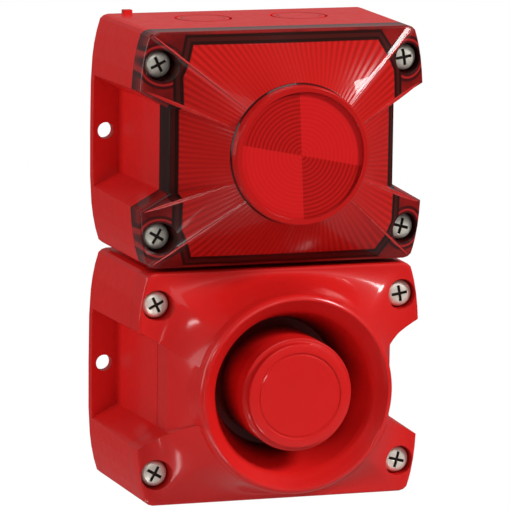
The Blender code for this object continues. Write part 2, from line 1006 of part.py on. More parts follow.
def sounder_inside():
    """The driver behind the horn's floor and the circuit board behind the driver."""
    turned(
        "driver_clamp_ring",
        [
            (27.0, 49.9),
            (27.0, 44.1),
            (20.2, 44.1),
            (20.2, 48.2),
            (17.0, 48.2),
            (17.0, 49.9),
        ],
        (0.0, SOUNDER_Z),
        BLACK_PLASTIC,
        steps=32,
    )
    turned(
        "driver_diaphragm",
        [
            (0.0, 47.2),
            (6.0, 46.9),
            (11.0, 46.0),
            (14.5, 45.4),
            (19.6, 45.4),
            (19.6, 44.7),
            (0.0, 44.7),
        ],
        (0.0, SOUNDER_Z),
        FILM,
        steps=32,
    )
    turned(
        "driver_frame",
        [
            (24.0, 43.8),
            (24.0, 40.0),
            (21.0, 37.0),
            (21.0, 23.0),
            (16.4, 23.0),
            (16.4, 36.0),
            (19.8, 43.8),
        ],
        (0.0, SOUNDER_Z),
        BLACK_PLASTIC,
        steps=32,
    )
    rod("driver_magnet", (0.0, SOUNDER_Z), 16.0, 21.4, 40.0, look=FERRITE, sides=32)

    board = box(
        "sounder_board",
        (-35.0, SOUNDER_Z - 30.2, SOUNDER_BOARD_REAR),
        (35.0, SOUNDER_Z + 30.2, SOUNDER_BOARD_FRONT),
        BOARD,
    )
    post_x, post_z = COVER_POST
    for number, (sx, sz) in enumerate(CORNERS, 1):
        place = (sx * post_x, SOUNDER_Z + sz * post_z)
        hole = rod(
            f"sounder_board_hole_{number}",
            place,
            1.6,
            SOUNDER_BOARD_REAR - 1,
            SOUNDER_BOARD_FRONT + 1,
            sides=8,
            is_cutter=True,
        )
        boolean(board, hole)
        small_screw(
            f"sounder_board_screw_{number}",
            place,
            SOUNDER_BOARD_REAR - 0.3,
            SOUNDER_BOARD_FRONT + 7.0,
            facing=-1,
        )
    rod(
        "sounder_capacitor",
        (18.0, SOUNDER_Z + 20.0),
        4.5,
        SOUNDER_BOARD_REAR - 10.3,
        SOUNDER_BOARD_REAR - 0.3,
        look=SLEEVE,
    )
    tone_switch()
    volume_trimmer()
    terminal_block("sounder_terminal_block", SOUNDER_Z - 28.0)


def tone_switch():
    """A row of small slide switches on the rear of the board: one housing and its levers."""
    pitch = (SWITCH_X[1] - SWITCH_X[0]) / LEVER_COUNT
    housing = box(
        "tone_switch_housing",
        (SWITCH_X[0], SWITCH_Z - 4.0, SWITCH_FACE),
        (SWITCH_X[1], SWITCH_Z + 4.0, SOUNDER_BOARD_REAR - 0.3),
        SWITCH_BLUE,
    )
    for number in range(LEVER_COUNT):
        middle = SWITCH_X[0] + pitch * (number + 0.5)
        slot = box(
            f"tone_switch_slot_{number + 1}",
            (middle - 0.9, SWITCH_Z - 1.7, SWITCH_FACE - 1.0),
            (middle + 0.9, SWITCH_Z + 1.7, SWITCH_FACE + 2.0),
            is_cutter=True,
        )
        boolean(housing, slot)
        box(
            f"tone_switch_lever_{number + 1}",
            (middle - 0.6, SWITCH_Z - 1.4, SWITCH_FACE - 0.8),
            (middle + 0.6, SWITCH_Z - 1.4 + 2.8 - LEVER_TRAVEL, SWITCH_FACE + 1.7),
            WHITE_PLASTIC,
        )


def volume_trimmer():
    """A small rotary control on the rear of the board: its body and the rotor that turns in it."""
    centre = (4.0 + 6.0, SOUNDER_Z - 10.0)
    rear = SOUNDER_BOARD_REAR - 5.3
    body = box(
        "volume_trimmer_body",
        (centre[0] - 5.0, centre[1] - 5.0, rear),
        (centre[0] + 5.0, centre[1] + 5.0, SOUNDER_BOARD_REAR - 0.3),
        SWITCH_BLUE,
    )
    well = rod("volume_trimmer_well", centre, 3.8, rear - 1.0, rear + 2.6, sides=24, is_cutter=True)
    boolean(body, well)
    rotor = rod(
        "volume_trimmer_rotor",
        centre,
        3.5,
        rear - 0.6,
        rear + 2.3,
        look=WHITE_PLASTIC,
        sides=32,
    )
    slot = box(
        "volume_trimmer_slot",
        (centre[0] - 2.6, centre[1] - 0.5, rear - 2.0),
        (centre[0] + 2.6, centre[1] + 0.5, rear + 0.3),
        is_cutter=True,
    )
    boolean(rotor, slot)


def driver_leads():
    """Two short leads from the driver's frame to the board."""
    for number, (side, look) in enumerate(((-1, WIRE_RED), (1, WIRE_BLACK)), 1):
        route = smooth_route(
            [
                (side * 22.2, SOUNDER_Z, 34.0),
                (side * 25.0, SOUNDER_Z, 33.5),
                (side * 27.5, SOUNDER_Z - 2.0, 30.0),
                (side * 28.0, SOUNDER_Z - 4.0, 25.0),
                (side * 28.0, SOUNDER_Z - 4.5, SOUNDER_BOARD_FRONT + 0.3),
            ]
        )
        tube(f"driver_lead_{number}", route, 0.8, look)


# ---- Link between the housings ----


def link():
    """A hollow threaded bush with a nut inside each base, a seal between them, and a rear plate."""
    place = (0.0, LINK_DEPTH)
    hole_radius = LINK_RADIUS + 0.4
    for name, low, high in (("strobe_base", 0.0, 6.0), ("sounder_base", -6.0, 0.0)):
        hole = rod(
            f"{name}_link_hole",
            place,
            hole_radius,
            low,
            high,
            axis="Z",
            sides=24,
            is_cutter=True,
        )
        boolean(bpy.data.objects[name], hole)
    half = 8.2
    turned(
        "link_bush",
        [(LINK_RADIUS, half), (LINK_RADIUS, -half), (LINK_BORE, -half), (LINK_BORE, half)],
        place,
        BLACK_PLASTIC,
        steps=32,
        axis="Z",
    )
    inner = HOUSING_GAP / 2 + WALL + 0.4
    for name, sign in (("upper", 1), ("lower", -1)):
        nut = rod(
            f"link_nut_{name}",
            place,
            11.5,
            sign * inner,
            sign * (inner + 4.0),
            axis="Z",
            look=BLACK_PLASTIC,
            sides=6,
        )
        bore = rod(
            f"link_nut_bore_{name}",
            place,
            LINK_RADIUS + 0.3,
            sign * (inner - 1),
            sign * (inner + 5),
            axis="Z",
            sides=24,
            is_cutter=True,
        )
        boolean(nut, bore)
    seal_half = HOUSING_GAP / 2 - 0.3
    turned(
        "link_seal",
        [
            (12.0, seal_half),
            (12.0, -seal_half),
            (LINK_RADIUS + 0.3, -seal_half),
            (LINK_RADIUS + 0.3, seal_half),
        ],
        place,
        BLACK_RUBBER,
        steps=32,
        axis="Z",
    )
    first_way = TERMINAL_LEFT + TERMINAL_PITCH / 2
    route = smooth_route(
        [
            (first_way, 10.4, WIRE_WAY_DEPTH),
            (first_way, 8.2, 11.0),
            (-16.5, 7.2, 16.0),
            (-13.5, 8.8, 20.5),
            (-9.0, 10.2, LINK_DEPTH),
            (-4.0, 9.9, LINK_DEPTH),
            (-1.6, 7.0, LINK_DEPTH),
            (0.0, 0.0, LINK_DEPTH),
            (0.0, -7.0, LINK_DEPTH),
            (0.0, -10.2, 20.2),
            (-0.6, -12.4, 16.0),
            (-4.0, -17.0, 11.0),
            (-20.0, -24.0, 9.0),
            (-35.0, -36.0, 9.0),
            (-37.5, -60.0, 9.0),
            (-36.0, -76.0, 9.0),
            (-30.5, -82.6, 9.5),
            (-20.0, -83.4, WIRE_WAY_DEPTH),
            (first_way, -79.4, WIRE_WAY_DEPTH),
        ],
        per_leg=3,
    )
    tube("link_lead", route, 1.3, WIRE_BLACK)


def joining_plate():
    """A plate let into the wall side of both bases, flush with the wall plane, with one screw in each."""
    half_x, half_z, thick = 18.0, 12.0, 2.0
    pocket = box(
        "joining_pocket",
        (-half_x - 0.3, -half_z - 0.3, -1.0),
        (half_x + 0.3, half_z + 0.3, thick + 0.3),
        is_cutter=True,
    )
    plate = box("joining_plate", (-half_x, -half_z, 0.0), (half_x, half_z, thick), STEEL)
    for name, sign in (("strobe", 1), ("sounder", -1)):
        body = bpy.data.objects[f"{name}_base"]
        boolean(body, pocket)
        place = (0.0, sign * 7.0)
        bore = rod(
            f"{name}_joining_bore",
            place,
            1.5,
            thick - 1.0,
            FLOOR + 1.0,
            sides=8,
            is_cutter=True,
        )
        boolean(body, bore)
        clear = rod(f"{name}_joining_hole", place, 1.6, -1.0, thick + 1.0, sides=8, is_cutter=True)
        sink = rod(f"{name}_joining_sink", place, 3.0, -1.0, 1.2, sides=10, is_cutter=True)
        boolean(plate, clear)
        boolean(plate, sink)
        turned(
            f"joining_screw_{name}",
            [
                (0.0, FLOOR - 0.5),
                (1.2, FLOOR - 0.5),
                (1.2, 0.9),
                (2.6, 0.9),
                (2.6, 0.2),
                (0.0, 0.2),
            ],
            place,
            STEEL,
            steps=16,
        )


def build():
    strobe_base = base("strobe_base", STROBE_Z)
    base("sounder_base", SOUNDER_Z)
    for side in (-1, 1):
        knockout_groove(strobe_base, side * KNOCKOUT_X, STROBE_Z + HALF_HEIGHT)
    nub = box(
        "strobe_base_nub",
        (-44.7, STROBE_Z + HALF_HEIGHT - 1.0, 0.0),
        (-41.3, STROBE_Z + HALF_HEIGHT + 1.5, 3.0),
        is_cutter=True,
    )
    boolean(strobe_base, nub, "UNION")
    seal("strobe_seal", STROBE_Z)
    seal("sounder_seal", SOUNDER_Z)
    strobe_lens()
    horn_cover()
    horn_plug()
    strobe_inside()
    sounder_inside()
    driver_leads()
    link()
    joining_plate()
    mesh = screw_mesh()
    cover_screws("lens_screw", STROBE_Z, mesh)
    cover_screws("horn_cover_screw", SOUNDER_Z, mesh)


build()
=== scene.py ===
"""Horn strobe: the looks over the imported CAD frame, in metres. +X right, +Z up, front at -Y."""

import math

import bmesh
import bpy
from mathutils import Matrix, Vector


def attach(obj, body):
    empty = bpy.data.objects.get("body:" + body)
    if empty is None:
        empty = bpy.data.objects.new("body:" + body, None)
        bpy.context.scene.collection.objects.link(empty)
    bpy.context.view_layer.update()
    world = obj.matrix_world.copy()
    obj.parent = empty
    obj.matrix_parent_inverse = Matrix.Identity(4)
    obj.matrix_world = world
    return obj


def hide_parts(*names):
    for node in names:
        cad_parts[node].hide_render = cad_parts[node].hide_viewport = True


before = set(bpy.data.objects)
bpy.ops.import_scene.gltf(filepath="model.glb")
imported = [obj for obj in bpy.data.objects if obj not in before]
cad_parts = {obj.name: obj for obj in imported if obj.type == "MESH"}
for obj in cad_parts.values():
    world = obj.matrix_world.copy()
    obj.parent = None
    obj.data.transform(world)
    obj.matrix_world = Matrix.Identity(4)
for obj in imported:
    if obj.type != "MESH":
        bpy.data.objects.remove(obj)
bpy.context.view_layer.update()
MM = 0.001

# Driving dimensions, in millimetres; a depth d lies at Y = -d.
HALF_HEIGHT = 44.0
STROBE_Z = 44.875
SOUNDER_Z = -STROBE_Z
HALF_WIDTH, SIDE_BOW, SIDE_DRAFT = 56.8, 4.25, 1.2
CORNER_ROUND = 1.6
LUG, SEAM, RIM = 4.0, 49.0, 59.6
COVER_REAR = 49.05  # just in front of the bases' edge
RECESS_X, RECESS_DRAFT = 46.8, 2.3
RECESS_INNER_Z, RECESS_OUTER_Z, RECESS_FLARE = 15.8, 21.3, 1.0
OPENING_X, OPENING_Z = 39.5, 38.3
SCREW_X, SCREW_Z = 48.0, 32.0
SCREW_SEAT, SCREW_TOP, SCREW_HEAD = 54.6, 58.2, 5.0
COLLAR_RADIUS, COLLAR_DEPTH = 25.9, 83.3
FRESNEL_RADIUS, FRESNEL_DEPTH = 23.6, 81.8
FACET_TOP = 78.0
HORN_RIM, HORN_RIM_DEPTH = 37.8, 81.6
PLUG_RADIUS, PLUG_FACE, PLUG_DEPTH, PLUG_STEP = 21.4, 19.7, 83.3, 80.4
CORNERS = ((-1, 1), (1, 1), (-1, -1), (1, -1))
POINT_SPACING = 1.3  # between the points of the cover's outline
RIM_ROUND = ((COVER_REAR, 0.0, COVER_REAR), (58.8, 0.0, 58.8), (59.3, 0.25, 59.35), (RIM, 0.8, RIM))
SCREW_HOLE = 2.75
POST_X, POST_Z = 31.0, 27.0
FACET_STEPS = 14
RIDGE_FOOT_DEPTH, RIDGE_TOP_DEPTH = RIM + 0.4, FACET_TOP - 0.1
RIDGE_TIP = 0.2
# each ridge of a quarter: its foot and its top as (x, z), and its widest half width
RIDGES = (
    ("corner", (50.0, 42.4), (20.2, 17.4), 0.4),
    ("side", (53.7, 22.6), (24.4, 10.2), 0.75),
)
FLARE_TOP, FLARE_STEPS = 75.0, 26
LIP = ((HORN_RIM, 79.2), (37.65, 80.1), (37.2, 80.85), (36.5, 81.4), (35.7, HORN_RIM_DEPTH))
CORE_INSET = 0.12  # keeps the bell's core just inside the cover's arms
KNOCKOUT_X, KNOCKOUT_DEPTH, KNOCKOUT_RING = 19.0, 21.0, 8.2
SCREW_TURNS = (20, 35, -15, 60)  # how far each cover screw's cross is turned, in degrees

# The lens's pattern, in millimetres from its centre.
RIB_COUNT = 126  # prism ribs all the way round
RIB_MIDDLE = 0.7  # a rib's shade halfway between its dark and its light side
RIB_RADII = (29.0, 50.0)  # where the ribs are faintest and strongest
RING_STEP = 0.78  # from the crest of one of the disc's rings to the foot of it
DISC_EDGE = (23.4, 23.7)
BAND_HALF_WIDTH, BAND_HALF_HEIGHT = 41.0, 39.4
BAND_SLANT = (0.9116, 0.4112, 49.0)  # the octagon's cut corner: its normal and its distance

# Painted shade in the throat, where shadow falls: the depths where it is full and where it ends,
# and how strong it is.
THROAT_SHADE_DEPTHS, THROAT_SHADE_SHARE = (50.0, 66.0), 0.7
PLUG_SIDE_ENDS = (22.0, 24.0)  # radii between the plug's side and the bell's wall
PLUG_SHADE_SHIFT = 5.0  # how much nearer the front the painted shade reaches on the plug's side
BELL_WALL_ENDS = (33.5, 35.0)  # radii where the bell's wall gives way to its lip
END_FACE = (87.5, 88.0)  # |z| just inside the outer end faces

# Colours, as linear red, green and blue; a pair goes from the first to the second.
# painted shade for the bell's throat, not the plastic's own colour
THROAT_SHADE = (0.07, 0.009, 0.008)
RING_SHADE = (0.12, 0.004, 0.004)
# painted shade and painted light on the two sides of each prism rib
RIB_SHADE_REDS = (0.31, 0.005, 0.004), (0.54, 0.010, 0.008)
SIDE_REDS = (0.06, 0.004, 0.003), (0.20, 0.008, 0.007)
RIM_REDS = (0.10, 0.003, 0.003), (0.24, 0.007, 0.006)
# painted shade at the collar's foot, then the collar's own red
COLLAR_SHADE_REDS = (0.05, 0.002, 0.002), (0.46, 0.009, 0.008)
# painted shade and painted light on the disc's rings, for its shaded and its lit quarters
SHADED_RINGS = (0.30, 0.004, 0.003), (0.50, 0.009, 0.008)
LIT_RINGS = (0.55, 0.010, 0.011), (0.61, 0.012, 0.013)
WELL_DARK, WELL_BRIGHT = (0.05, 0.003, 0.003), (0.34, 0.012, 0.012)
SEAL_DARK, SEAL_STRIPE = (0.018, 0.003, 0.002), (0.05, 0.005, 0.004)


# ---- Node materials ----


class Nodes:
    """A material's node tree, with short calls for maths on sockets."""

    def __init__(self, name):
        self.material = bpy.data.materials.new(name)
        self.material.use_nodes = True
        self.tree = self.material.node_tree
        self.shader = self.tree.nodes["Principled BSDF"]

    def add(self, kind):
        return self.tree.nodes.new(kind)

    def link(self, source, target):
        if hasattr(source, "links"):
            self.tree.links.new(source, target)
        else:
            target.default_value = source

    def maths(self, kind, *values):
        node = self.add("ShaderNodeMath")
        node.operation = kind
        for value, target in zip(values, node.inputs):
            self.link(value, target)
        return node.outputs[0]

    def distance(self, across, along):
        """How far a point is from a line, from its two offsets."""
        squares = [self.maths("MULTIPLY", offset, offset) for offset in (across, along)]
        return self.maths("SQRT", self.maths("ADD", *squares))

    def ramp(self, value, low, high, start=0.0, end=1.0):
        node = self.add("ShaderNodeMapRange")
        node.interpolation_type = "SMOOTHSTEP"
        for socket, setting in zip(node.inputs, (value, low, high, start, end)):
            self.link(setting, socket)
        return node.outputs[0]

    def mix(self, share, first, second):
        node = self.add("ShaderNodeMix")
        node.data_type = "RGBA"
        self.link(share, node.inputs[0])
        self.link(first if hasattr(first, "links") else (*first, 1.0), node.inputs[6])
        self.link(second if hasattr(second, "links") else (*second, 1.0), node.inputs[7])
        return node.outputs[2]

    def place(self):
        """Object coordinates in millimetres: x, depth and z."""
        coords = self.add("ShaderNodeTexCoord")
        split = self.add("ShaderNodeSeparateXYZ")
        self.link(coords.outputs["Object"], split.inputs[0])
        x = self.maths("MULTIPLY", split.outputs[0], 1000.0)
        depth = self.maths("MULTIPLY", split.outputs[1], -1000.0)
        z = self.maths("MULTIPLY", split.outputs[2], 1000.0)
        return x, depth, z

    def noise(self, scale, detail=4.0, roughness=0.6):
        node = self.add("ShaderNodeTexNoise")
        coords = self.add("ShaderNodeTexCoord")
        self.link(coords.outputs["Object"], node.inputs["Vector"])
        self.link(float(scale), node.inputs["Scale"])
        self.link(detail, node.inputs["Detail"])
        self.link(roughness, node.inputs["Roughness"])
        return node.outputs["Fac"]

    def bump(self, height, distance, strength=1.0, edge=0.0):
        node = self.add("ShaderNodeBump")
        self.link(height, node.inputs["Height"])
        node.inputs["Distance"].default_value = distance * MM
        node.inputs["Strength"].default_value = strength
        if edge:
            soft = self.add("ShaderNodeBevel")
            soft.samples = 4
            soft.inputs["Radius"].default_value = edge * MM
            self.link(soft.outputs[0], node.inputs["Normal"])
        self.link(node.outputs[0], self.shader.inputs["Normal"])

    def set(self, **values):
        for name, value in values.items():
            self.shader.inputs[name.replace("_", " ")].default_value = value


def moulded(
    name,
    colour,
    roughness=0.35,
    grain=0.03,
    edge=0.35,
    coat=0.0,
    vary=0.12,
    metallic=0.0,
    gloss=0.5,
    detail=None,
):
    """Moulded plastic, rubber or metal: fine grain, faint mottling and softened edges."""
    look = Nodes(name)
    dark = tuple(c * (1 - vary) for c in colour)
    light = tuple(min(1.0, c * (1 + vary)) for c in colour)
    base = look.mix(look.noise(60), dark, light)
    height = look.noise(3500, 2.0)
    # the bell's detail paints shade into the throat
    if detail == "bell":
        base = bell_painted_shade(look, base)
    if detail == "knockouts":
        base = knockout_rings(look, base)
    look.link(base, look.shader.inputs["Base Color"])
    rough = look.ramp(look.noise(220), 0.3, 0.7, roughness - 0.05, roughness + 0.06)
    look.link(rough, look.shader.inputs["Roughness"])
    look.bump(height, grain, 0.6, edge)
    look.set(Coat_Weight=coat, Metallic=metallic, Coat_Roughness=0.12, Specular_IOR_Level=gloss)
    return look.material


def bell_painted_shade(look, base):
    """Painted shade: the bell's wall and the plug's side are painted darker towards the throat,
    where shadow falls.
    """
    x, depth, z = look.place()
    radius = look.distance(x, look.maths("SUBTRACT", z, SOUNDER_Z))
    plug_shift = look.ramp(radius, *PLUG_SIDE_ENDS, PLUG_SHADE_SHIFT, 0.0)
    painted_shade = look.ramp(look.maths("SUBTRACT", depth, plug_shift), *THROAT_SHADE_DEPTHS, THROAT_SHADE_SHARE, 0.0)
    inside = look.ramp(radius, *BELL_WALL_ENDS, 1.0, 0.0)
    return look.mix(look.maths("MULTIPLY", painted_shade, inside), base, THROAT_SHADE)


def knockout_rings(look, base):
    """A second, fainter ring inside each cable knockout."""
    x, depth, z = look.place()
    across = look.maths("SUBTRACT", look.maths("ABSOLUTE", x), KNOCKOUT_X)
    radius = look.distance(across, look.maths("SUBTRACT", depth, KNOCKOUT_DEPTH))
    from_ring = look.maths("ABSOLUTE", look.maths("SUBTRACT", radius, KNOCKOUT_RING))
    on_end = look.ramp(look.maths("ABSOLUTE", z), *END_FACE)
    line = look.maths("MULTIPLY", look.ramp(from_ring, 0.15, 0.4, 0.7, 0.0), on_end)
    return look.mix(line, base, RING_SHADE)


def outside_band(look, wide, tall):
    """How far a point is outside the octagon where the seal's dark band begins."""
    slant = look.maths("MULTIPLY", wide, BAND_SLANT[0])
    slant = look.maths("ADD", slant, look.maths("MULTIPLY", tall, BAND_SLANT[1]))
    slant = look.maths("SUBTRACT", slant, BAND_SLANT[2])
    past_side = look.maths("SUBTRACT", wide, BAND_HALF_WIDTH)
    past_end = look.maths("SUBTRACT", tall, BAND_HALF_HEIGHT)
    return look.maths("MAXIMUM", look.maths("MAXIMUM", past_side, past_end), slant)


def rib_shade(look, rib, radius):
    """Facets with painted shade and painted light on the two sides of each rib, more strongly
    towards the rim, with a few plainer patches.
    """
    weight = look.ramp(radius, *RIB_RADII, 0.35, 0.95)
    shade = look.maths("MULTIPLY", look.maths("SUBTRACT", rib, RIB_MIDDLE), weight)
    shade = look.maths("ADD", shade, RIB_MIDDLE)
    plain = look.ramp(look.noise(30.0), 0.3, 0.7, 0.0, 0.25)
    return look.mix(look.maths("MAXIMUM", shade, plain), *RIB_SHADE_REDS)


def clear_plastic(look, depth, wide, tall):
    """The lens outside the seal: its side, its mottled rim and a ringed well round each screw."""
    side = look.mix(look.ramp(depth, 50.0, 59.0), *SIDE_REDS)
    rim = look.mix(look.ramp(look.noise(45.0), 0.35, 0.65), *RIM_REDS)
    clear = look.mix(look.ramp(depth, 59.0, RIM), side, rim)
    from_screw = look.distance(
        look.maths("SUBTRACT", wide, SCREW_X),
        look.maths("SUBTRACT", tall, SCREW_Z),
    )
    well = look.mix(look.ramp(from_screw, 6.3, 6.9), WELL_DARK, WELL_BRIGHT)
    well = look.mix(look.ramp(from_screw, 7.2, 7.6), well, WELL_DARK)
    return look.mix(look.ramp(from_screw, 8.2, 8.9), well, clear)


def seal_band(look, outside, clear):
    """The black seal seen through the plastic, with a paler stripe along its middle."""
    stripe = look.mix(look.ramp(outside, 1.0, 1.4), SEAL_DARK, SEAL_STRIPE)
    stripe = look.mix(look.ramp(outside, 2.3, 2.7), stripe, SEAL_DARK)
    return look.mix(look.ramp(outside, 3.3, 3.8), stripe, clear)


def disc_lit_quarter(look, x, z):
    """Painted light and shade on the disc: 0 in the two opposite quarters painted in shade and 1 in
    the lit others, which lean a little.
    """
    lean_x = look.maths("ADD", x, look.maths("MULTIPLY", z, 0.05))
    lean_z = look.maths("ADD", z, look.maths("MULTIPLY", x, 0.2))
    return look.ramp(look.maths("MULTIPLY", look.maths("SIGN", lean_x), lean_z), -0.3, 0.3)


def lens_look():
    """Clear red polycarbonate: radial prism ribs and a ringed centre disc, both with painted
    shading, and a seal's dark band.
    """
    look = Nodes("clear_red_lens")
    x, depth, z = look.place()
    z = look.maths("SUBTRACT", z, STROBE_Z)
    wide = look.maths("ABSOLUTE", x)
    tall = look.maths("ABSOLUTE", z)
    radius = look.distance(x, z)
    turn = look.maths("DIVIDE", look.maths("ARCTAN2", z, x), 2 * math.pi)
    outside = outside_band(look, wide, tall)
    rib = look.maths("PINGPONG", look.maths("MULTIPLY", turn, 2.0 * RIB_COUNT), 1.0)
    ring = look.maths("PINGPONG", look.maths("DIVIDE", radius, RING_STEP), 1.0)
    quarter = disc_lit_quarter(look, x, z)
    band = seal_band(look, outside, clear_plastic(look, depth, wide, tall))
    body = look.mix(look.ramp(outside, -0.25, 0.25), rib_shade(look, rib, radius), band)
    # painted shade along the crease where the facets meet the collar
    collar = look.mix(look.ramp(depth, FACET_TOP + 0.6, FACET_TOP + 1.0), *COLLAR_SHADE_REDS)
    body = look.mix(look.ramp(radius, COLLAR_RADIUS + 0.4, COLLAR_RADIUS + 0.7), collar, body)
    # the rings' colour is painted shade in two quarters and painted light in the others
    disc = look.mix(quarter, look.mix(ring, *SHADED_RINGS), look.mix(ring, *LIT_RINGS))
    colour = look.mix(look.ramp(radius, *DISC_EDGE), disc, body)
    look.link(colour, look.shader.inputs["Base Color"])
    on_disc = look.ramp(radius, *DISC_EDGE, 1.0, 0.0)
    ringed = look.maths("MULTIPLY", on_disc, look.ramp(quarter, 0.0, 1.0, 1.0, 0.2))
    on_facet = look.ramp(outside, -0.4, 0.0, 1.0, 0.0)
    on_facet = look.maths("MULTIPLY", on_facet, look.ramp(radius, 26.2, 26.8))
    rings_up = look.maths("MULTIPLY", ring, ringed)
    look.bump(look.maths("ADD", rings_up, look.maths("MULTIPLY", rib, on_facet)), 0.12, 0.6, 0.3)
    look.set(Roughness=0.25, Coat_Weight=0.2, Coat_Roughness=0.05)
    look.set(Transmission_Weight=0.05, IOR=1.4, Specular_IOR_Level=0.15)
    return look.material


def screw_look():
    """Plated steel with painted shade in the cross recess, for a screw that stands on its own Y
    axis.
    """
    look = Nodes("plated_screw")
    x, depth, z = look.place()
    plated = look.mix(look.noise(900), (0.72, 0.67, 0.57), (0.92, 0.88, 0.79))
    radius = look.distance(x, z)
    recess_shade = look.ramp(depth, SCREW_TOP - 0.65, SCREW_TOP - 0.45, 1.0, 0.0)
    cross = look.maths("MULTIPLY", recess_shade, look.ramp(radius, 3.2, 3.3, 1.0, 0.0))
    # painted shade inside the cross recess
    look.link(look.mix(cross, plated, (0.035, 0.02, 0.015)), look.shader.inputs["Base Color"])
    look.link(look.ramp(look.noise(1500), 0.2, 0.8, 0.3, 0.45), look.shader.inputs["Roughness"])
    look.bump(look.noise(5000, 2.0), 0.02, 0.5, 0.15)
    look.set(Metallic=0.5)
    return look.material


def glass_look():
    look = Nodes("quartz_tube")
    colour = look.mix(look.noise(300), (0.86, 0.88, 0.9), (0.97, 0.98, 0.99))
    look.link(colour, look.shader.inputs["Base Color"])
    look.set(Roughness=0.05, Transmission_Weight=0.9, IOR=1.46)
    return look.material


HOUSING_RED = (0.62, 0.0075, 0.0065)
COVER_RED = (0.57, 0.0085, 0.0075)
RIDGE_RED = (0.45, 0.009, 0.007)
RED = moulded(
    "red_housing", HOUSING_RED, 0.5, 0.035, 0.5, 0.3, 0.06, gloss=0.12, detail="knockouts"
)
# the horn cover's colour carries painted shade in the bell's throat
HORN_RED = moulded(
    "red_horn_cover", COVER_RED, 0.48, 0.03, 0.4, 0.45, 0.06, gloss=0.12, detail="bell"
)
SEAL = moulded("black_seal", (0.018, 0.016, 0.016), 0.75, 0.06)
BLACK = moulded("black_plastic", (0.028, 0.026, 0.026), 0.45)
PLATE = moulded("zinc_plate", (0.62, 0.6, 0.56), 0.35, 0.02, 0.2, metallic=1.0)
MIRROR = moulded("reflector_mirror", (0.85, 0.85, 0.86), 0.12, 0.01, 0.2, metallic=1.0)
WHITE = moulded("white_plastic", (0.82, 0.81, 0.77), 0.4)
BOARD = moulded("circuit_board", (0.03, 0.19, 0.08), 0.4, 0.08, 0.1, 0.3, 0.25)
SLEEVE = moulded("capacitor_sleeve", (0.02, 0.035, 0.15), 0.3, coat=0.5)
GREY = moulded("terminal_grey", (0.34, 0.35, 0.35), 0.45)
MAGNET = moulded("magnet_steel", (0.11, 0.11, 0.12), 0.45, metallic=0.8)
FILM = moulded("diaphragm_film", (0.45, 0.26, 0.1), 0.3, coat=0.4)
BLUE = moulded("blue_plastic", (0.04, 0.11, 0.42), 0.4)
WIRE_RED = moulded("red_wire", (0.55, 0.02, 0.02), 0.45)
LENS = lens_look()
BEAD = moulded("lens_ridge", RIDGE_RED, 0.25, 0.01, 0.0, 0.7, 0.06, gloss=0.2)
SCREW = screw_look()
GLASS = glass_look()

NODE_LOOKS = {
    "base": RED,
    "seal": SEAL,
    "lamp_carrier": BLACK,
    "reflector": MIRROR,
    "lamp_holder": WHITE,
    "flash_tube": GLASS,
    "board": BOARD,
    "capacitor": SLEEVE,
    "trigger_coil": BLACK,
    "terminal_block": GREY,
    "link_bush": BLACK,
    "link_nut": BLACK,
    "link_lead": BLACK,
    "joining_plate": PLATE,
    "driver_clamp_ring": BLACK,
    "driver_frame": BLACK,
    "driver_magnet": MAGNET,
    "driver_diaphragm": FILM,
    "driver_lead_1": WIRE_RED,
    "driver_lead_2": BLACK,
    "tone_switch_housing": BLUE,
    "tone_switch_lever": WHITE,
    "trimmer_body": BLUE,
    "trimmer_rotor": WHITE,
    "screw": SCREW,
    "lens": LENS,
    "horn": HORN_RED,
}


def paint_frame():
    """Each carried-over CAD node takes the look of the longest name part that it holds."""
    for name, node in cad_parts.items():
        matches = [key for key in NODE_LOOKS if key in name]
        key = "screw" if "screw" in name else max(matches, key=len)
        for index in range(max(1, len(node.material_slots))):
            if node.material_slots:
                node.material_slots[index].material = NODE_LOOKS[key]
            else:
                node.data.materials.append(NODE_LOOKS[key])


# ---- Shapes ----


def object_from(name, shape, look, angle=30):
    bmesh.ops.recalc_face_normals(shape, faces=shape.faces)
    mesh = bpy.data.meshes.new(name)
    shape.to_mesh(mesh)
    shape.free()
    mesh.shade_smooth()
    mesh.set_sharp_from_angle(angle=math.radians(angle))
    piece = bpy.data.objects.new(name, mesh)
    bpy.context.scene.collection.objects.link(piece)
    if look:
        mesh.materials.append(look)
    return piece


def loft(name, rings, centre_z, look=None, angle=30):
    """A closed solid through rings of (x, z, depth) points in millimetres."""
    shape = bmesh.new()
    rows = []
    for ring in rings:
        rows.append([shape.verts.new((x * MM, -d * MM, (z + centre_z) * MM)) for x, z, d in ring])
    count = len(rows[0])
    for lower, upper in zip(rows, rows[1:]):
        for i in range(count):
            j = (i + 1) % count
            shape.faces.new((lower[i], lower[j], upper[j], upper[i]))
    caps = [shape.faces.new(rows[0]), shape.faces.new(rows[-1])]
    shape.normal_update()
    bmesh.ops.triangulate(shape, faces=caps)
    return object_from(name, shape, look, angle)


def turned(name, profile, centre, look=None, steps=128, angle=30):
    """A profile of (radius, depth) points turned about the line along Y through centre (x, z)."""
    shape = bmesh.new()
    points = [shape.verts.new((radius * MM, 0, depth * MM)) for radius, depth in profile]
    edges = [shape.edges.new(pair) for pair in zip(points, points[1:])]
    if profile[0][0] > 0:
        edges.append(shape.edges.new((points[-1], points[0])))
    bmesh.ops.spin(
        shape,
        geom=points + edges,
        cent=(0, 0, 0),
        axis=(0, 0, 1),
        steps=steps,
        angle=2 * math.pi,
        use_merge=True,
    )
    bmesh.ops.remove_doubles(shape, verts=shape.verts, dist=1e-6)
    lay_down = Matrix.Rotation(math.pi / 2, 4, "X")
    move = Matrix.Translation((centre[0] * MM, 0, centre[1] * MM))
    bmesh.ops.transform(shape, matrix=move @ lay_down, verts=shape.verts)
    return object_from(name, shape, look, angle)


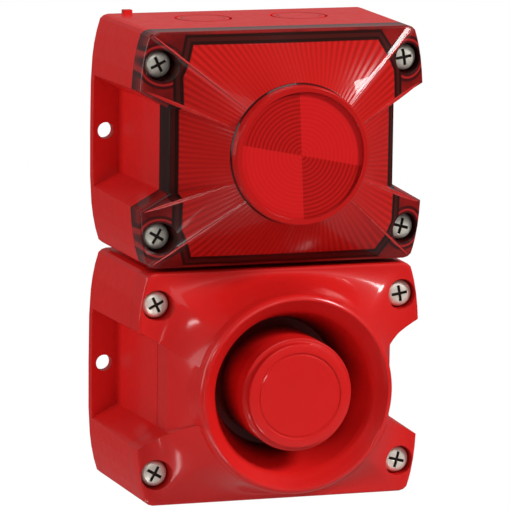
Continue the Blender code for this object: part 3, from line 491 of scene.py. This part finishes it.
def carve(piece, tools, operation="DIFFERENCE", sharp=28):
    """Applies a Boolean with each tool and removes the tools."""
    for tool in tools:
        step = piece.modifiers.new(tool.name, "BOOLEAN")
        step.operation = operation
        step.object = tool
        step.solver = "MANIFOLD"
    bpy.context.view_layer.update()
    graph = bpy.context.evaluated_depsgraph_get()
    mesh = bpy.data.meshes.new_from_object(piece.evaluated_get(graph))
    piece.modifiers.clear()
    piece.data = mesh
    for tool in tools:
        bpy.data.objects.remove(tool, do_unlink=True)
    mesh.shade_smooth()
    mesh.set_sharp_from_angle(angle=math.radians(sharp))


def half_width(z, depth):
    return HALF_WIDTH - SIDE_DRAFT * depth / RIM - SIDE_BOW * (z / HALF_HEIGHT) ** 4


def recess_edge(depth):
    return RECESS_OUTER_Z + RECESS_FLARE * (depth - LUG) / (RIM - LUG)


def recess_wall(depth):
    return RECESS_X - RECESS_DRAFT * (depth - LUG) / (SEAM - LUG)


def cover_outline(depth, inset=0.0, recessed=True):
    """The cover's outline, with or without its side recesses, moved inward a little."""
    edge = recess_edge(depth) + inset * 0.6
    start = recess_wall(depth) if recessed else half_width(RECESS_INNER_Z, depth)
    top = HALF_HEIGHT - inset
    quadrant = [
        (start - inset, RECESS_INNER_Z + inset * 0.6),
        (half_width(edge, depth) - inset, edge),
    ]
    for z in (27.0, 32.0, 37.0, 40.0, HALF_HEIGHT - CORNER_ROUND):
        quadrant.append((half_width(z, depth) - inset, z - inset * (z > 41)))
    corner = half_width(HALF_HEIGHT, depth) - inset
    quadrant.append((corner - 0.45 * CORNER_ROUND, top - 0.3 * CORNER_ROUND))
    quadrant.append((corner - 1.5 * CORNER_ROUND, top))
    left = [(-x, z) for x, z in reversed(quadrant)]
    upper = quadrant + left
    whole = upper + [(x, -z) for x, z in reversed(upper)]
    return spaced(whole)


SIDE_COUNTS = {}  # how many pieces each side of the outline is cut into, set by the first outline


def spaced(outline):
    """Points along each side, in counts that depend only on the side's place in the outline."""
    points = []
    for side, ((x, z), (next_x, next_z)) in enumerate(zip(outline, outline[1:] + outline[:1])):
        length = math.hypot(next_x - x, next_z - z)
        pieces = SIDE_COUNTS.setdefault(side, max(1, round(length / POINT_SPACING)))
        for step in range(pieces):
            share = step / pieces
            points.append((x + (next_x - x) * share, z + (next_z - z) * share))
    return points


def at(outline, depth):
    return [(x, z, depth) for x, z in outline]


def circle_like(outline, radius, depth):
    """The outline's points moved onto a circle, each along its own radius."""
    ring = []
    for x, z in outline:
        reach = math.hypot(x, z)
        ring.append((x / reach * radius, z / reach * radius, depth))
    return ring


def rim_rings(inset=0.0, recessed=True):
    """The cover's side and the small round at its front edge."""
    rings = []
    for width_at, round_in, depth in RIM_ROUND:
        rings.append(at(cover_outline(width_at, round_in + inset, recessed), depth))
    return rings


def recess_tool(side):
    """A side recess carried on forward, its walls narrowing towards the bell."""
    sections = []
    ends = ((COVER_REAR - 4.0, recess_wall(COVER_REAR)), (RIM, recess_wall(RIM)), (86.0, 28.0))
    for depth, inner in ends:
        wall = recess_wall(min(depth, RIM))
        edge = recess_edge(depth)
        slope = (edge - RECESS_INNER_Z) / (half_width(edge, depth) - wall)
        corners = [(x, RECESS_INNER_Z + slope * (x - wall)) for x in (inner, 80.0)]
        outline = corners + [(x, -z) for x, z in reversed(corners)]
        sections.append([(side * x, z, depth) for x, z in outline])
    return loft("recess_tool", sections, SOUNDER_Z)


def screw_tools(centre_z):
    """The four screws' wells and the holes below them."""
    profile = [
        (0, 75),
        (6.0, 75),
        (5.75, RIM - 0.2),
        (5.7, SCREW_SEAT),
        (SCREW_HOLE, SCREW_SEAT),
        (SCREW_HOLE, 47),
        (0, 47),
    ]
    tools = []
    for sx, sz in CORNERS:
        place = (sx * SCREW_X, centre_z + sz * SCREW_Z)
        tools.append(turned("screw_tool", profile, place, steps=64))
    return tools


def octagon():
    """The opening inside the rim."""
    quadrant = [(OPENING_X, 25.0), (33.5, OPENING_Z)]
    upper = quadrant + [(-x, z) for x, z in reversed(quadrant)]
    whole = upper + [(x, -z) for x, z in reversed(upper)]
    points = []
    for (x, z), (next_x, next_z) in zip(whole, whole[1:] + whole[:1]):
        pieces = max(1, round(math.hypot(next_x - x, next_z - z) / 3))
        for step in range(pieces):
            share = step / pieces
            points.append((x + (next_x - x) * share, z + (next_z - z) * share))
    return points


def lens_shell():
    """The lens from its rear edge to the collar, solid inside."""
    edge = cover_outline(RIM, 0.8)
    foot = circle_like(edge, COLLAR_RADIUS + 0.4, FACET_TOP)
    rings = rim_rings()
    for step in range(1, FACET_STEPS + 1):
        share = step / FACET_STEPS
        ring = []
        for (x, z), (fx, fz, fd) in zip(edge, foot):
            ring.append((x + (fx - x) * share, z + (fz - z) * share, RIM + (fd - RIM) * share))
        rings.append(ring)
    rings.append(circle_like(edge, COLLAR_RADIUS, FACET_TOP + 0.6))
    rings.append(circle_like(edge, COLLAR_RADIUS, COLLAR_DEPTH - 0.5))
    rings.append(circle_like(edge, COLLAR_RADIUS - 0.5, COLLAR_DEPTH))
    return loft("lens_body", rings, STROBE_Z, LENS)


def lens():
    body = lens_shell()
    mouth = octagon()
    hollow = [
        at(mouth, 48.0),
        at(mouth, RIM - 3.6),
        circle_like(mouth, FRESNEL_RADIUS - 0.4, FACET_TOP - 2.0),
        circle_like(mouth, FRESNEL_RADIUS - 0.4, FRESNEL_DEPTH - 1.8),
    ]
    inside = loft("lens_inside", hollow, STROBE_Z)
    above_disc = [
        (0, 90),
        (FRESNEL_RADIUS + 0.4, 90),
        (FRESNEL_RADIUS, FRESNEL_DEPTH),
        (0, FRESNEL_DEPTH - 0.1),
    ]
    face = turned("lens_face", above_disc, (0, STROBE_Z), steps=192)
    carve(body, [inside, face] + screw_tools(STROBE_Z), sharp=9)
    for number, (sx, sz) in enumerate(CORNERS, 1):
        for kind, (foot_x, foot_z), (top_x, top_z), widest in RIDGES:
            foot = (sx * foot_x, -RIDGE_FOOT_DEPTH, sz * foot_z)
            top = (sx * top_x, -RIDGE_TOP_DEPTH, sz * top_z)
            ridge_bead(f"{kind}_ridge_{number}", foot, top, widest)
    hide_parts("strobe_lens")
    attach(body, "lens")


def ridge_bead(name, foot, top, widest):
    """A slim bead along the ridge between two lens facets, tapering from the rim to the collar."""
    corner = Vector(foot)
    collar = Vector(top)
    along = (corner - collar).normalized()
    out = Vector((0, -1, 0))
    out = (out - along * out.dot(along)).normalized()
    across = along.cross(out)
    shape = bmesh.new()
    rows = []
    for step in range(15):
        share = step / 14
        swell = math.sin(math.pi * (1 - share) ** 0.7) ** 1.3
        half = RIDGE_TIP + (widest - RIDGE_TIP) * swell
        middle = collar.lerp(corner, share)
        row = []
        for turn in range(16):
            angle = 2 * math.pi * turn / 16
            point = middle + across * half * math.cos(angle) + out * 0.3 * half * math.sin(angle)
            row.append(shape.verts.new(point * MM))
        rows.append(row)
    for lower, upper in zip(rows, rows[1:]):
        for i in range(16):
            j = (i + 1) % 16
            shape.faces.new((lower[i], lower[j], upper[j], upper[i]))
    shape.faces.new(rows[0])
    shape.faces.new(rows[-1])
    bmesh.ops.translate(shape, vec=(0, 0, STROBE_Z * MM), verts=shape.verts)
    bead = object_from(name, shape, BEAD, 60)
    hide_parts("strobe_lens")
    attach(bead, "lens")


def horn_shell(name, inset, recessed):
    """The cover from its rear edge to the bell's lip, solid inside."""
    edge = cover_outline(RIM, 0.8 + inset, recessed)
    foot = circle_like(edge, HORN_RIM + 0.1 - inset, FLARE_TOP - inset)
    rings = rim_rings(inset, recessed)
    for step in range(1, FLARE_STEPS + 1):
        share = step / FLARE_STEPS
        inward = share**0.92
        depth = RIM + (FLARE_TOP - inset - RIM) * share**2.1
        ring = []
        for (x, z), (fx, fz, _) in zip(edge, foot):
            ring.append((x + (fx - x) * inward, z + (fz - z) * inward, depth))
        rings.append(ring)
    for radius, depth in LIP:
        rings.append(circle_like(edge, radius - inset, depth - inset))
    return loft(name, rings, SOUNDER_Z, HORN_RED)


def bell_air():
    """The bell's open inside: over the lip, down the flare and through the throat's floor."""
    profile = [(0, 90), (35.7, 90), (35.7, 84.0), (35.65, 81.55), (35.2, 81.1)]
    profile += [(34.0, 79.6), (32.2, 77.6)]
    for step in range(21):
        share = step / 20
        profile.append((25.0 + 5.6 * (1 - share) ** 1.4, 75.8 - 20.8 * share))
    profile += [(24.4, 52.6), (13, 52.6), (13, 45), (0, 45)]
    return turned("horn_air", profile, (0, SOUNDER_Z), steps=192)


def horn():
    body = horn_shell("horn_body", 0.0, False)
    carve(body, [recess_tool(-1), recess_tool(1)])
    carve(body, [horn_shell("horn_core", CORE_INSET, True)], "UNION")
    mouth = octagon()
    hollow = [
        at(mouth, 48.0),
        at(mouth, RIM - 4.2),
        circle_like(mouth, 34.0, RIM - 2.0),
        circle_like(mouth, 29.0, RIM),
    ]
    inside = loft("horn_inside", hollow, SOUNDER_Z)
    air = bell_air()
    floor_profile = [(0, 61.0), (32.0, 61.0), (27.8, 54.0), (27.4, 50.2), (0, 50.2)]
    floor = turned("horn_floor", floor_profile, (0, SOUNDER_Z), steps=128)
    carve(body, [inside])
    carve(body, [floor], "UNION")
    carve(body, [air] + screw_tools(SOUNDER_Z))
    post_profile = [(0, 57.6), (3.2, 57.6), (3.2, 19.9), (1.5, 19.9), (1.5, 28.0), (0, 28.0)]
    posts = []
    for sx, sz in CORNERS:
        place = (sx * POST_X, SOUNDER_Z + sz * POST_Z)
        posts.append(turned("post", post_profile, place, steps=48))
    carve(body, posts, "UNION")
    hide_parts("horn_cover")
    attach(body, "horn")


def plug():
    profile = [
        (0, PLUG_DEPTH - 0.12),
        (15.2, PLUG_DEPTH - 0.12),
        (15.5, PLUG_DEPTH - 0.4),
        (16.0, PLUG_DEPTH - 0.4),
        (16.3, PLUG_DEPTH),
        (PLUG_FACE - 0.8, PLUG_DEPTH),
        (PLUG_FACE - 0.25, PLUG_DEPTH - 0.22),
        (PLUG_FACE, PLUG_DEPTH - 0.8),
        (PLUG_FACE + 0.1, PLUG_STEP + 0.35),
        (PLUG_FACE + 0.5, PLUG_STEP + 0.05),
        (PLUG_RADIUS - 0.6, PLUG_STEP),
        (PLUG_RADIUS - 0.15, PLUG_STEP - 0.2),
        (PLUG_RADIUS, PLUG_STEP - 0.7),
        (PLUG_RADIUS, 57.0),
        (PLUG_RADIUS - 2.6, 57.0),
        (PLUG_RADIUS - 3.0, PLUG_STEP - 2.0),
        (0, PLUG_STEP - 2.0),
    ]
    body = turned("plug_body", profile, (0, SOUNDER_Z), HORN_RED, steps=160)
    feet = []
    for number in range(3):
        angle = math.radians(90 + 120 * number)
        away = PLUG_RADIUS - 1.7
        place = (away * math.cos(angle), SOUNDER_Z + away * math.sin(angle))
        feet.append(turned("foot", [(0, 61), (1.6, 61), (1.6, 52.9), (0, 52.9)], place, steps=32))
    carve(body, feet, "UNION")
    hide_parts("horn_plug")
    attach(body, "horn")


def screws():
    """Pan heads with a cross recess, one mesh shared by the eight cover screws."""
    seat = SCREW_SEAT + 0.3
    profile = [(0, SCREW_TOP)]
    for step in range(1, 9):
        angle = math.radians(90 * step / 8)
        drop = 1.9 * (1 - math.cos(angle)) ** 1.1
        profile.append((SCREW_HEAD * math.sin(angle) ** 0.8, SCREW_TOP - drop))
    profile += [(SCREW_HEAD, seat + 0.1), (SCREW_HEAD - 0.1, seat)]
    profile += [(2.4, seat), (2.4, 36.8), (1.6, 36.0), (0, 36.0)]
    pattern = turned("screw_pattern", profile, (0, 0), SCREW, steps=64)
    tools = []
    for turn in (45, 135):
        shape = bmesh.new()
        bmesh.ops.create_cube(shape, size=1.0)
        bmesh.ops.scale(shape, vec=(6.2 * MM, 3.2 * MM, 1.15 * MM), verts=shape.verts)
        spin = Matrix.Rotation(math.radians(turn), 4, "Y")
        move = Matrix.Translation((0, -(SCREW_TOP + 0.1) * MM, 0))
        bmesh.ops.transform(shape, matrix=move @ spin, verts=shape.verts)
        tools.append(object_from("cross_tool", shape, None))
    carve(pattern, tools)
    covers = (("lens", "lens_screw", STROBE_Z), ("horn", "horn_cover_screw", SOUNDER_Z))
    for prefix, node, centre_z in covers:
        for number, ((sx, sz), turn) in enumerate(zip(CORNERS, SCREW_TURNS), 1):
            screw = bpy.data.objects.new(f"{prefix}_pan_screw_{number}", pattern.data)
            bpy.context.scene.collection.objects.link(screw)
            screw.location = (sx * SCREW_X * MM, 0, (centre_z + sz * SCREW_Z) * MM)
            screw.rotation_euler = (0, math.radians(turn), 0)
            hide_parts(f"{node}_{number}")
            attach(screw, f"{prefix}_screw_{number}")
    bpy.data.objects.remove(pattern, do_unlink=True)


# ---- Stage ----


# name, place and the point it faces, in metres, width and height in metres, and watts
LIGHTS = (
    ("right_key", (1.05, -1.0, 1.02), (0, -0.04, 0.0), (0.38, 0.38), 29.0),
    ("left_fill", (-1.45, 0.35, 0.35), (0, -0.04, 0.0), (0.9, 1.0), 10.0),
    ("high_left_strip", (-1.15, -0.72, 0.56), (0, -0.05, 0.04), (0.1, 0.3), 2.4),
    ("low_glow", (-0.3, -0.5, -0.44), (0, -0.06, -0.04), (0.6, 0.03), 1.0),
    ("left_rim_strip", (-0.75, -1.05, -0.3), (0, -0.05, -0.04), (0.03, 0.6), 0.5),
    ("front_soft", (-0.2, -1.6, 0.9), (0, -0.05, 0.0), (1.2, 0.8), 5.0),
    ("top_soft", (0.0, 0.1, 0.95), (0, -0.03, 0.05), (0.5, 0.3), 2.0),
    ("back_wall", (0.3, 1.3, 0.5), (0, -0.03, 0.0), (2.0, 1.6), 1.6),
)
BACKGROUND, SURROUND = 1.1, 0.14  # how bright the world is to the eye, and as light
FLOOR_Z, FLOOR_SIZE = -0.5, 6.0
CAMERA_YAW, CAMERA_PITCH, CAMERA_ROLL = 18.577, 9.880, 0.749  # degrees
CAMERA_DISTANCE, FOCAL_LENGTH = 1.7828, 326.2  # metres and millimetres
CAMERA_AIM = (0.00987, 0.0, -0.00638)


def area_light(name, place, aim, size, power):
    lamp = bpy.data.lights.new(name, "AREA")
    lamp.shape = "RECTANGLE"
    lamp.size, lamp.size_y = size
    lamp.energy = power
    made = bpy.data.objects.new(name, lamp)
    made.location = place
    made.rotation_euler = (Vector(aim) - Vector(place)).to_track_quat("-Z", "Y").to_euler()
    bpy.context.scene.collection.objects.link(made)


def studio_world():
    """White behind the object, and a dimmer surround for light and reflections."""
    world = bpy.data.worlds.new("studio")
    world.use_nodes = True
    tree = world.node_tree
    seen = tree.nodes["Background"]
    seen.inputs[0].default_value = (1, 1, 1, 1)
    seen.inputs[1].default_value = BACKGROUND
    surround = tree.nodes.new("ShaderNodeBackground")
    surround.inputs[0].default_value = (1, 1, 1, 1)
    surround.inputs[1].default_value = SURROUND
    rays = tree.nodes.new("ShaderNodeLightPath")
    share = tree.nodes.new("ShaderNodeMixShader")
    tree.links.new(rays.outputs["Is Camera Ray"], share.inputs[0])
    tree.links.new(surround.outputs[0], share.inputs[1])
    tree.links.new(seen.outputs[0], share.inputs[2])
    tree.links.new(share.outputs[0], tree.nodes["World Output"].inputs[0])
    bpy.context.scene.world = world


def floor_look():
    """A pale floor: nearly white to the eye, and dull enough not to light the object from below."""
    look = Nodes("pale_floor")
    grey = look.mix(look.noise(3), (0.40, 0.40, 0.40), (0.44, 0.44, 0.44))
    look.link(grey, look.shader.inputs["Base Color"])
    look.set(Roughness=0.8)
    white = look.add("ShaderNodeEmission")
    white.inputs[0].default_value = (1, 1, 1, 1)
    white.inputs[1].default_value = 1.08
    rays = look.add("ShaderNodeLightPath")
    share = look.add("ShaderNodeMixShader")
    look.link(look.maths("MULTIPLY", rays.outputs["Is Camera Ray"], 0.92), share.inputs[0])
    look.link(look.shader.outputs[0], share.inputs[1])
    look.link(white.outputs[0], share.inputs[2])
    look.link(share.outputs[0], look.tree.nodes["Material Output"].inputs[0])
    return look.material


def stage():
    shape = bmesh.new()
    bmesh.ops.create_grid(shape, x_segments=8, y_segments=8, size=FLOOR_SIZE)
    floor = object_from("floor", shape, floor_look())
    floor.location = (0, 0, FLOOR_Z)
    studio_world()
    for light in LIGHTS:
        area_light(*light)
    bpy.context.scene.view_settings.view_transform = "Standard"


def camera():
    """A long lens a little to the left of the front and above it."""
    yaw, pitch, roll = (math.radians(a) for a in (CAMERA_YAW, CAMERA_PITCH, CAMERA_ROLL))
    level = Vector((math.sin(yaw), math.cos(yaw), 0.0))
    forward = level * math.cos(pitch) + Vector((0.0, 0.0, -math.sin(pitch)))
    right = Vector((math.cos(yaw), -math.sin(yaw), 0.0))
    up = right.cross(forward)
    tilted_right = right * math.cos(roll) + up * math.sin(roll)
    tilted_up = up * math.cos(roll) - right * math.sin(roll)
    lens_data = bpy.data.cameras.new("camera")
    lens_data.sensor_width = 36.0
    lens_data.lens = FOCAL_LENGTH
    lens_data.clip_end = 50.0
    eye = bpy.data.objects.new("camera", lens_data)
    turn = Matrix((tilted_right, tilted_up, -forward)).transposed().to_4x4()
    move = Matrix.Translation(Vector(CAMERA_AIM) - forward * CAMERA_DISTANCE)
    eye.matrix_world = move @ turn
    bpy.context.scene.collection.objects.link(eye)
    bpy.context.scene.camera = eye


paint_frame()
lens()
horn()
plug()
screws()
stage()
camera()
